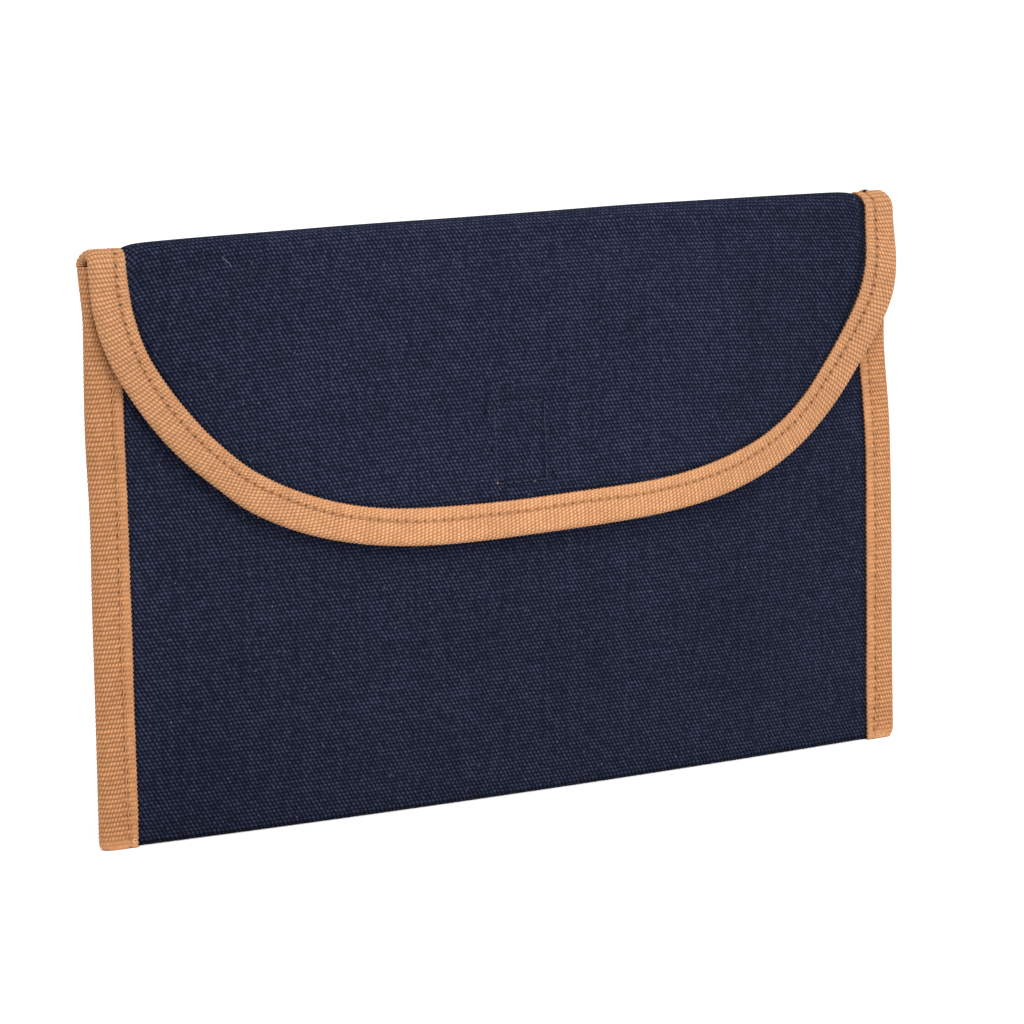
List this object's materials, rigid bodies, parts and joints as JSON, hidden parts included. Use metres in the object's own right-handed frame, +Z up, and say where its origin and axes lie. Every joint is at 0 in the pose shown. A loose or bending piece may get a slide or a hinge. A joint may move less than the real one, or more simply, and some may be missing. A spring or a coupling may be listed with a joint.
{
  "type": "brush case",
  "caption": "Flat canvas envelope case for artists' brushes, with a round flap, taped edges, a hook-and-loop closure and a slotted inner panel.",
  "frame": {"origin": "middle of the base, in the plane where the front and back meet at the side edges", "axes": "+X along the width, front and flap face -Y, +Z up from the base to the fold"},
  "size_m": [0.26, 0.0179, 0.1614],
  "materials": {
    "canvas": "matte plain weave",
    "tape": "matte ribbed weave",
    "tan_thread": "twisted thread",
    "navy_thread": "twisted thread",
    "hook_tape": "stiff nylon hooks",
    "loop_tape": "napped nylon loops"
  },
  "bodies": {
    "case": {"back_panel": "canvas", "bottom_fold": "canvas", "front_panel": "canvas", "mouth_hem": "canvas", "slot_panel": "canvas", "slot_hem": "canvas", "left_binding": "tape", "right_binding": "tape", "loop_patch": "loop_tape", "left_seam": "tan_thread", "right_seam": "tan_thread", "left_backtack": "tan_thread", "right_backtack": "tan_thread", "loop_stitches": "navy_thread", "mouth_stitches": "navy_thread", "slot_stitches": "navy_thread", "slot_hem_stitches": "navy_thread"},
    "flap": {"flap_panel": "canvas", "flap_binding": "tape", "hook_patch": "hook_tape", "flap_seam": "tan_thread", "hook_stitches": "navy_thread"}
  },
  "joints": [
    {"name": "flap_fold", "type": "hinge", "parent": "case", "child": "flap", "pos_m": [0, 0, 0.162], "axis": [-1, 0, 0], "range_deg": [0, 175]}
  ]
}
